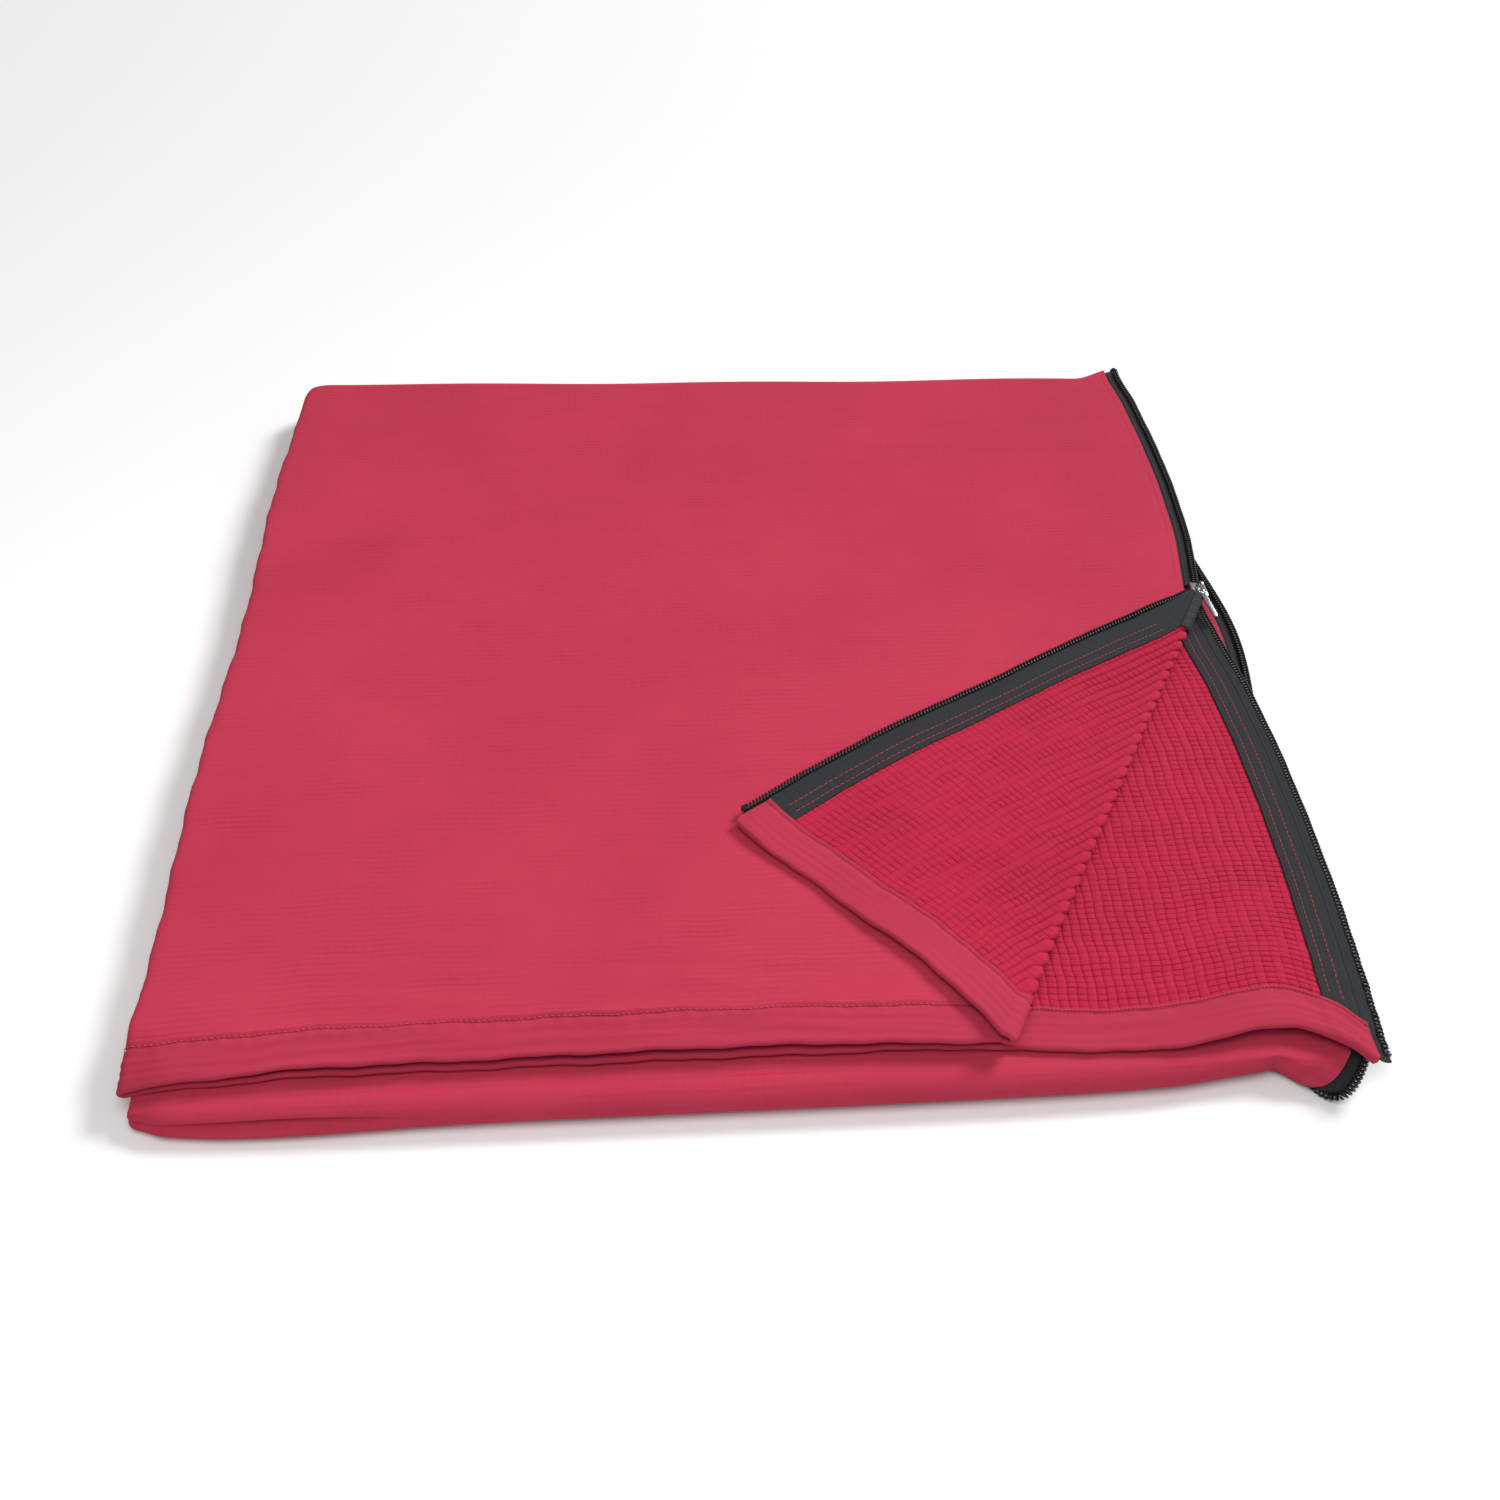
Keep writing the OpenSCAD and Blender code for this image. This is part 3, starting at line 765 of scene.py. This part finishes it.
def hem_round(e):
    """Round edge of the hem: 0 at its edge, 1 past the round."""
    return np.sqrt(1 - (1 - np.clip(e / 2.4, 0, 1)) ** 2)


def hem_wrinkles(a, e):
    """Fine creases that run along the hem."""
    return (0.28 * np.sin(1.25 * e + 1.7 * np.sin(a / 38)) * bump(e, 12, 9)
            * (0.5 + 0.5 * np.sin(a / 23 + e / 9)))


def hem_out(a, e):
    """Height of the hem's outer face: swelling, seam and puckers beside it."""
    pucker = 0.25 * np.sin(a / 1.9) * bump(e, STITCH - 2.5, 4) + hem_wrinkles(a, e)
    swell = 0.7 * np.sin(np.clip(e / STITCH, 0, 1) * math.pi) ** 0.5
    seam = 0.9 * bump(e, STITCH, 0.8)
    return np.maximum((HALF_CLOTH + swell - seam + pucker) * hem_round(e), THINNEST)


def hem_in(x, e):
    """Height of the hem's inner face, which goes over the tape's end."""
    pucker = 0.2 * np.sin(x / 2.3 + 1) * bump(e, STITCH - 2.5, 4) + hem_wrinkles(x, e)
    over_tape = 0.9 * ramp(x, TAPE_X0 - 5, TAPE_X0)
    seam = 0.8 * bump(e, STITCH, 0.8)
    return np.maximum((HALF_CLOTH + 0.7 + over_tape - seam + pucker) * hem_round(e), THINNEST)


hem_lines = np.concatenate([steps(back_a(RIGHT), -SIDE, 2.2)[:-1], steps(-SIDE, 0, 1.0),
                            steps(0, A_FRONT, 2.2)[1:]])
tip_cut = (np.array([back_a(RIGHT), 6.0]), np.array([-0.8, -0.6]))
hem = shell("hem_head", flat_sheet(hem_lines, HEM_ROWS, [front_cut, tip_cut]), tube,
            hem_out, lambda a, e: hem_in(across(a)[0], e), [HEMMED])
on_body(hem, "hem_cloth", "upper_layer", "front_hem", "back_hem")

flap_cut = (np.array([fold_x(HEM_Y), HEM]), -ACROSS[:2])
HEM_END = RIGHT + 2
flap_tip = (np.array([HEM_END, 4.0]), np.array([0.8, -0.6]))
hem_flap = shell(
    "hem_flap", flat_sheet(steps(fold_x(-DEPTH), HEM_END, 2.0), HEM_ROWS, [flap_cut, flap_tip]),
    lambda x, e: flap(x, e - DEPTH), hem_out, hem_in, [HEMMED])
on_body(hem_flap, "hem_cloth", "corner_flap", "flap_hem")


def bend_hem_out(t, _q):
    """Outer face of the hem round the fold line, kept inside the bend's own radius."""
    return np.minimum(hem_out(fold_x(line_y(t)) - LEFT, line_y(t) + DEPTH), BEND_R - 0.1)


def bend_hem_in(t, _q):
    """Inner face of the hem round the fold line."""
    return hem_in(fold_x(line_y(t)), line_y(t) + DEPTH)


bend_rows = (HEM_ROWS - DEPTH - PIVOT[1]) / ALONG[1]
hem_bend = shell("hem_corner_bend", flat_sheet(bend_rows, steps(-90, 90, 10)), bend_place,
                 bend_hem_out, bend_hem_in, [HEMMED], bend_grid)
on_body(hem_bend, "hem_cloth", CORNER_FOLD)


# ---- Zipper tapes and coils ----
TAPE_LINES = np.concatenate([
    steps(TAPE_X0, TAPE_X0 + 3.6, 0.6), steps(TAPE_X0 + 5, TAPE_X1 - 7.5, 2),
    steps(TAPE_X1 - 6.5, TAPE_X1 - 0.5, 0.5), [TAPE_X1 + 1, CHAIN + 0.7]])


def tape_face(x, s):
    """Height of the tape's face: a thick free edge, and a cord and band by the coil."""
    selvedge = 0.3 * ramp(x, TAPE_X0 + 3.0, TAPE_X0 + 2.4)
    cord = 0.55 * bump(x, TAPE_X1 - 4.6, 0.8)
    band = 0.3 * ramp(x, TAPE_X1 - 3.4, TAPE_X1 - 2.6)
    return TAPE / 2 + selvedge + cord + band


def tape_sheet(name, s0, s1, side, step, body, nodes):
    """One tape on the inner face of a panel, side 1 for the front panel, -1 for the back."""
    h = HALF - HALF_CLOTH - TAPE / 2
    has_hem = name == "tape_back_upper"

    def place(x, s):
        under_hem = 0.3 * ramp(HEM + 1 - s, 0, 4) * has_hem
        return tube_at(x, side * (h + under_hem), 0 * x, side + 0 * x, s)

    piece = shell(name, flat_sheet(TAPE_LINES, steps(s0, s1, step)),
                  place, tape_face, tape_face, [TAPE_MAT])
    on_body(piece, "zipper_tape", body, *nodes)


# the coil's pitch, its wire's radius, and its own half width and half height
COIL_PITCH, COIL_WIRE, COIL_RX, COIL_RH = 2.6, 0.8, 2.1, 1.8


def coil_mesh(name, s0, s1, centre, body, nodes, phase=0.0):
    """A coil of filament along a path; centre gives the place, its x and its h direction."""
    per_turn, sides, path_step = 12, 6, 3
    path = np.linspace(s0, s1, max(60, int((s1 - s0) / path_step)))
    length = np.linalg.norm(np.diff(centre(path)[0], axis=0), axis=1).cumsum()
    length = np.concatenate([[0], length])
    n = int(length[-1] / COIL_PITCH * per_turn) + 1
    s = np.interp(np.linspace(0, length[-1], n), length, path)
    alpha = np.linspace(0, length[-1], n) / COIL_PITCH * 2 * math.pi + phase
    p, e1, e2 = centre(s)
    radial = e1 * np.cos(alpha)[:, None] + e2 * np.sin(alpha)[:, None]
    wire = p + e1 * (COIL_RX * np.cos(alpha))[:, None] + e2 * (COIL_RH * np.sin(alpha))[:, None]
    tangent = np.gradient(wire, axis=0)
    tangent /= np.linalg.norm(tangent, axis=1)[:, None]
    second = np.cross(tangent, radial)
    beta = np.arange(sides) / sides * 2 * math.pi
    ring = (wire[:, None, :] + COIL_WIRE * (radial[:, None, :] * np.cos(beta)[None, :, None]
            + second[:, None, :] * np.sin(beta)[None, :, None])).reshape(-1, 3)
    i = np.arange(n - 1)[:, None] * sides
    k = np.arange(sides)[None, :]
    k1 = (k + 1) % sides
    quads = np.stack([i + k, i + k1, i + k1 + sides, i + k + sides], -1).reshape(-1, 4)
    faces = [tuple(q) for q in quads.tolist()]
    faces += [tuple(range(sides))[::-1], tuple(range((n - 1) * sides, n * sides))]
    piece = make_object(name, ring, faces, [COIL_MAT])
    on_body(piece, "zipper_coil", body, *nodes)


ACROSS_CHAIN = 8.0           # width of cloth beside the chain that gives its direction


def chain_centre(side):
    """Centre line of the front (1) or back (-1) coil, which parts at the slider."""
    def centre(s):
        opened = ramp(CLOSED_S - s, 5, 45)
        x = CHAIN + 0.4 * opened
        h = side * (COIL_H - 0.4 * opened)
        p, up = tube_at(x, h, 0 * x, 1 + 0 * x, s)
        inner_point, _ = tube_at(x - ACROSS_CHAIN, h, 0 * x, 1 + 0 * x, s)
        e1 = p - inner_point
        e1 /= np.linalg.norm(e1, axis=1)[:, None]
        e2 = np.cross(np.gradient(p, axis=0), e1)
        e2 *= (np.sign((e2 * up).sum(1)) / np.linalg.norm(e2, axis=1))[:, None]
        return p, e1, e2
    return centre


CLOSED_S = CLOSED_Y + DEPTH
TAPE_START, COIL_START = 5.0, 11.0
for side, word in ((1, "front"), (-1, "back")):
    start = CLOSED_S if side > 0 else TAPE_START
    phase = math.pi if side > 0 else 0.0
    # part, from and to along the tube, body, step of the mesh
    runs = (("upper", start, S_BACK, "upper_layer", 5.0),
            ("back_fold", S_BACK, S_MID, BACK_FOLD, 1.6),
            ("middle", S_MID, S_FRONT, "middle_layer", 9.0),
            ("front_fold", S_FRONT, S_LOW, FRONT_FOLD, 1.2),
            ("lower", S_LOW, S_FOOT - 4, "lower_layer", 9.0))
    for part, s0, s1, body, step in runs:
        is_fold = part.endswith("fold")
        tape_nodes = [f"{word}_tape_{part}"] if not is_fold else [f"{part}_tapes"]
        coil_nodes = [f"{word}_coil_{part}"] if not is_fold else [f"{part}_coils"]
        tape_sheet(f"tape_{word}_{part}", s0, s1, side, step, body, tape_nodes)
        c0 = COIL_START if (part == "upper" and side < 0) else s0
        coil_mesh(f"coil_{word}_{part}", c0, s1, chain_centre(side), body, coil_nodes, phase)


def flap_tape(x, y):
    """The turned corner's tape, which dips under the hem."""
    return flap(x, y, HALF - HALF_CLOTH - TAPE / 2 + 0.3 * ramp(HEM_Y + 1 - y, 0, 4))


tape_cut = (np.array([fold_x(HEM_Y) + 0.3, HEM_Y]), -ACROSS[:2])
UNDER_HEM = 18
tape_steps = steps(HEM_Y - UNDER_HEM, FLAP_END_Y + 6, 3.0)
tape = shell("tape_flap", flat_sheet(TAPE_LINES, tape_steps, [tape_cut]),
             flap_tape, TAPE / 2, tape_face, [TAPE_MAT])
on_body(tape, "zipper_tape", "corner_flap", "flap_tape")


def tape_round_bend(t, q):
    """The flap's tape where it goes round the corner's fold line, beside the slider."""
    p, n = bend_place(t, q)
    over_ribs = 1.3
    return p - n * (HALF_CLOTH + over_ribs), n


SLIDER_GAP = 9
round_bend = shell(
    "tape_corner_bend",
    flat_sheet(steps((TAPE_X0 - PIVOT[0]) / ALONG[0], -SLIDER_GAP, 2.0), steps(-90, 90, 10)),
    tape_round_bend, TAPE / 2, TAPE / 2, [TAPE_MAT], bend_grid)
on_body(round_bend, "zipper_tape", CORNER_FOLD)


def flap_coil_centre(s):
    """Centre line of the turned corner's coil, which stands up where the chain is parted."""
    y = s - DEPTH
    parted = ramp(-y, -40, 0)
    x = CHAIN + 0.4 * parted
    h = COIL_H - 1.3 * parted
    p, _ = flap(x, y, h)
    q, _ = flap(x + 1, y, h)
    e1 = q - p
    e1[:, 2] = 0
    e1 /= np.linalg.norm(e1, axis=1)[:, None]
    return p, e1, columns(0 * s, 0 * s, 0 * s - 1)


coil_end = FLAP_END_Y + DEPTH + 5
coil_mesh("coil_flap", COIL_START, coil_end, flap_coil_centre, "corner_flap", ["flap_coil"])


# ---- Stitching ----
def stitches(name, first, last, up, body, nodes, width=0.33, lift=0.35):
    """Short arched threads from first to last, standing on a surface whose normal is up."""
    m, sides = len(first), 6
    u = np.array([0.0, 0.18, 0.5, 0.82, 1.0])
    height = np.array([-0.5, 0.55, 1.0, 0.55, -0.5]) * lift
    girth = np.array([0.5, 1.0, 1.1, 1.0, 0.5]) * width
    line = last - first
    across_line = np.cross(line, up)
    across_line /= np.linalg.norm(across_line, axis=1)[:, None]
    beta = np.arange(sides) / sides * 2 * math.pi
    spine = (first[:, None] + line[:, None] * u[None, :, None]
             + up[:, None] * height[None, :, None])
    ring = (spine[:, :, None, :]
            + across_line[:, None, None, :] * (girth[:, None] * np.cos(beta))[None, :, :, None]
            + up[:, None, None, :] * (girth[:, None] * np.sin(beta))[None, :, :, None])
    one = [(r * sides + k, r * sides + (k + 1) % sides, (r + 1) * sides + (k + 1) % sides,
            (r + 1) * sides + k) for r in range(4) for k in range(sides)]
    one += [tuple(range(sides))[::-1], tuple(range(4 * sides, 5 * sides))]
    size = 5 * sides
    faces = [tuple(i + j * size for i in f) for j in range(m) for f in one]
    piece = make_object(name, ring.reshape(-1, 3), faces, [THREAD])
    on_body(piece, "thread", body, *nodes)


def stitch_row(low, high, pitch, length, place):
    """Ends and normals of stitches along a coordinate, where place gives (point, normal)."""
    starts = np.arange(low, high - length, pitch)
    a, n = place(starts)
    b, _ = place(starts + length)
    return a, b, n


def front_hem_seam(a):
    """The hem's seam on the outer face."""
    p, n = tube(a, np.full(len(a), STITCH))
    return p + n * (HALF_CLOTH + 0.3), n


def back_hem_seam(a):
    """The back hem's seam, on the inner face."""
    p, n = tube(a, np.full(len(a), STITCH + 1.6))
    return p - n * (HALF_CLOTH + 0.75), -n


front_row = stitch_row(-SIDE, fold_x(HEM_Y) - LEFT - 6, 3.4, 2.6, front_hem_seam)
back_row = stitch_row(back_a(TAPE_X0 + 2), back_a(fold_x(HEM_Y) - 20), 2.2, 1.7, back_hem_seam)
stitches("stitch_hem_front", *front_row, "upper_layer", ["front_hem_stitching"])
stitches("stitch_hem_back", *back_row, "upper_layer", ["back_hem_stitching"])


def tape_rows(name, place, rows, low, high, body, nodes):
    """Rows of small stitches along a tape, each at its own x."""
    parts = [stitch_row(low, high, 3.6, 2.7, lambda y, r=r: place(np.full(len(y), r), y))
             for r in rows]
    a, b, n = (np.concatenate([p[k] for p in parts]) for k in range(3))
    stitches(name, a, b, n, body, nodes, width=0.22, lift=0.2)


def back_tape_place(x, y):
    """The shown face of the back panel's tape."""
    return tube_at(x, HALF_CLOTH + TAPE - HALF + 0 * x, 0 * x, 1 + 0 * x, y + DEPTH)


def flap_tape_place(x, y):
    """The shown face of the turned corner's tape."""
    p, n = flap(x, y, HALF - HALF_CLOTH - TAPE)
    return p, -n


def closed_place(x, y):
    """The outer face of the front panel."""
    p, n = tube_at(x, HALF + 0 * x, 0 * x, 1 + 0 * x, y + DEPTH)
    return p + n * HALF_CLOTH, n


TAPE_ROWS = (TAPE_X0 + 4.4, TAPE_X0 + 10.6)
CLOSED_ROW = (RIGHT - CLOTH_EDGE - 4.0,)
ROWS_START, FLAP_ROWS_END = HEM_Y + 6, -8.0
tape_rows("stitch_tape_back", back_tape_place, TAPE_ROWS, ROWS_START, CLOSED_Y, "upper_layer",
          ["back_tape_stitching"])
tape_rows("stitch_tape_flap", flap_tape_place, TAPE_ROWS, ROWS_START, FLAP_ROWS_END,
          "corner_flap", ["flap_stitching"])
tape_rows("stitch_tape_front", closed_place, CLOSED_ROW, CLOSED_Y, DEPTH, "upper_layer",
          ["front_tape_stitching"])


# ---- Metal and stops: bevelled copies of the exact CAD shapes ----
EDGE_ROUND = 0.3


def detailed(node, body, slot, material, turned):
    """A copy of a CAD node, moved by the matrix turned, with round edges."""
    mesh = frame["nodes"][node].data.copy()
    mesh.transform(turned)
    mesh.materials.clear()
    mesh.materials.append(material)
    piece = add_object(node + "_detail", mesh)
    bm = bmesh.new()
    bm.from_mesh(mesh)
    bmesh.ops.remove_doubles(bm, verts=bm.verts, dist=1e-6)
    bmesh.ops.dissolve_limit(bm, angle_limit=math.radians(3), verts=bm.verts, edges=bm.edges)
    bm.to_mesh(mesh)
    bm.free()
    modifier = piece.modifiers.new("round", "BEVEL")
    modifier.width, modifier.segments = EDGE_ROUND * MM, 3
    modifier.limit_method, modifier.angle_limit = "ANGLE", math.radians(40)
    mesh.polygons.foreach_set("use_smooth", [True] * len(mesh.polygons))
    on_body(piece, slot, body, node)


def about(place, angle, axis):
    """A turn about an axis through a place in millimetres."""
    move = Matrix.Translation(Vector(place) * MM)
    return move @ Matrix.Rotation(math.radians(angle), 4, axis) @ move.inverted()


# the pull lies over on its side, bridge up, as the soft chain lets it
chain_place = (CHAIN, PIVOT[1], MID[2])
middle_of_chain = Matrix.Translation(Vector(chain_place) * MM)
taller = middle_of_chain @ Matrix.Diagonal((1.4, 1.1, 1.0, 1.0)) @ middle_of_chain.inverted()
lying = about(chain_place, -80, "Y")
ring_low, ring_high = corners("pull_ring")
ring_middle = Vector((ring_low + ring_high) / 2) * MM
ring_lying = Matrix.Translation(lying @ taller @ ring_middle - lying @ ring_middle) @ lying
eye = Vector((ring_middle[0], (ring_low[1] + 0.6) * MM, ring_middle[2]))
hinge = ring_lying @ eye
swung = Matrix.Rotation(math.radians(7), 4, "Z") @ Matrix.Rotation(math.radians(2), 4, "X")
tab_lying = Matrix.Translation(hinge) @ swung @ Matrix.Translation(-eye)
for node, body, turned in (
        ("slider_body", "slider", lying @ taller), ("slider_bridge", "slider", lying @ taller),
        ("pull_ring", "pull_ring", ring_lying), ("pull_tab", "pull_tab", tab_lying)):
    detailed(node, body, "zipper_metal", METAL, turned)
# the stops sit on the ends of the settled chains
chain_end = np.array([S_FOOT - 6.0, S_FOOT - 5.0])
back_start = np.array([COIL_START, COIL_START + 1.0])
low_end = (chain_centre(1)(chain_end)[0][0] + chain_centre(-1)(chain_end)[0][0]) / 2
for node, body, place in (
        ("back_top_stop", "upper_layer", chain_centre(-1)(back_start)[0][0]),
        ("flap_top_stop", "corner_flap", flap_coil_centre(back_start)[0][0]),
        ("bottom_stop", "lower_layer", low_end)):
    move = Vector(place - sum(corners(node)) / 2) * MM
    detailed(node, body, "zipper_coil", COIL_MAT, Matrix.Translation(move))


# ---- The foot seam ----
def seam_place(x, s):
    """The middle of the lowest layer, where the two panels meet."""
    return tube_at(x, 0 * x, 0 * x, 1 + 0 * x, s)


SEAM_HALF = 1.9
seam_grid = flat_sheet(steps(LEFT - 1, corners("foot_seam")[1][0], 3.5),
                       steps(S_FOOT - 4, S_FOOT + 0.6, 0.8))
seam = shell("foot_seam_cloth", seam_grid, seam_place, SEAM_HALF, SEAM_HALF, [HEMMED])
on_body(seam, "hem_cloth", "lower_layer", "foot_seam")


# ---- Camera, floor and light ----
def aim(obj, direction):
    """Turns a camera or a light to look along a direction."""
    obj.rotation_mode = "QUATERNION"
    obj.rotation_quaternion = direction.to_track_quat("-Z", "Y")


camera = add_object("camera", bpy.data.cameras.new("camera"))
bpy.context.scene.camera = camera
camera.data.lens, camera.data.sensor_width = 36.0, 36.0
camera.location = (-0.027, -0.786, 0.750)
heading, pitch = math.radians(2.9), math.radians(46.2)
forward = Vector((math.sin(heading) * math.cos(pitch), math.cos(heading) * math.cos(pitch),
                  -math.sin(pitch)))
aim(camera, forward)

FLOOR = 6000
FLOOR_MAT = plain_material("floor", (0.93, 0.93, 0.93), (0.92, 0.92, 0.92), rough=0.8, depth=0.0)
floor = make_object("floor", [(-FLOOR, -FLOOR, 0), (FLOOR, -FLOOR, 0), (FLOOR, FLOOR, 0),
                              (-FLOOR, FLOOR, 0)], [(0, 1, 2, 3)], [FLOOR_MAT])


def softbox(name, place, target, size, watts):
    """A square area light at a place, aimed at a target, in metres."""
    light = add_object(name, bpy.data.lights.new(name, "AREA"))
    light.data.shape, light.data.size = "SQUARE", size
    light.data.energy = watts
    light.location = place
    aim(light, Vector(target) - Vector(place))


softbox("key", (5.8, 4.0, 5.4), (0, 0, 0), 2.7, 735)
softbox("fill", (-0.1, -0.55, 1.1), (0, -0.3, 0), 0.7, 6.0)
world = bpy.data.worlds.new("studio")
world.use_nodes = True
world.node_tree.nodes["Background"].inputs[0].default_value = (1.0, 1.0, 1.0, 1)
world.node_tree.nodes["Background"].inputs[1].default_value = 0.36
bpy.context.scene.world = world
bpy.context.scene.view_settings.view_transform = "Standard"
